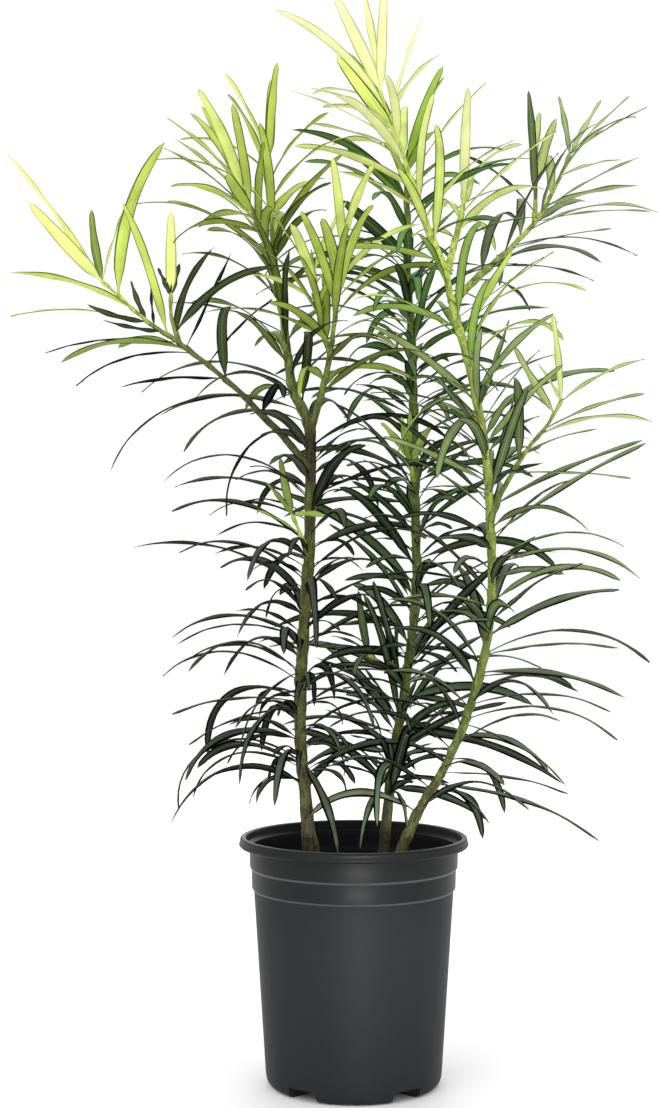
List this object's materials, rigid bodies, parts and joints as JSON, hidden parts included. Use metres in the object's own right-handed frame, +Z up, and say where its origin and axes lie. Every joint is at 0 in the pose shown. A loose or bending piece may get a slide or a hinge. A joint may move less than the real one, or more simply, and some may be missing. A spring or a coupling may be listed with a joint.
{
  "type": "potted podocarpus",
  "caption": "Potted podocarpus shrub: upright stems with side shoots and long narrow arching leaves, dark below and lime at the tips, in a round black nursery pot.",
  "frame": {"origin": "centre of the pot's flat underside", "axes": "+Z up, +X to the right of the show side, which faces -Y"},
  "size_m": [0.4581, 0.2703, 0.7876],
  "materials": {
    "pot_plastic": "semi-matte moulded black plastic",
    "soil": "dark crumbly bark and peat mix",
    "bark": "thin olive-brown bark, finely fissured",
    "green_bark": "smooth green young bark",
    "dark_leaf": "leathery, dark green, half gloss",
    "green_leaf": "leathery, mid green, half gloss",
    "young_leaf": "soft new growth, lime green"
  },
  "bodies": {
    "root": {"pot": "pot_plastic", "soil": "soil", "trunk_left": "bark", "trunk_middle": "bark", "trunk_right": "bark", "left_bough": "green_bark", "left_inner_bough": "green_bark", "right_side_bough": "green_bark", "right_outer_bough": "green_bark", "right_inner_bough": "green_bark", "left_low_leaves": "dark_leaf", "left_middle_leaves": "dark_leaf", "left_high_leaves": "green_leaf", "left_crown_leaves": "green_leaf", "middle_low_leaves": "dark_leaf", "middle_middle_leaves": "dark_leaf", "middle_high_leaves": "green_leaf", "right_low_leaves": "dark_leaf", "right_middle_leaves": "dark_leaf", "right_high_leaves": "green_leaf", "right_crown_leaves": "green_leaf", "left_bough_leaves": "green_leaf", "left_leader_leaves": "young_leaf", "left_inner_leaves": "young_leaf", "middle_top_leaves": "green_leaf", "right_leader_leaves": "young_leaf", "right_inner_leaves": "young_leaf", "right_outer_leaves": "green_leaf", "right_side_leaves": "green_leaf"}
  },
  "joints": []
}
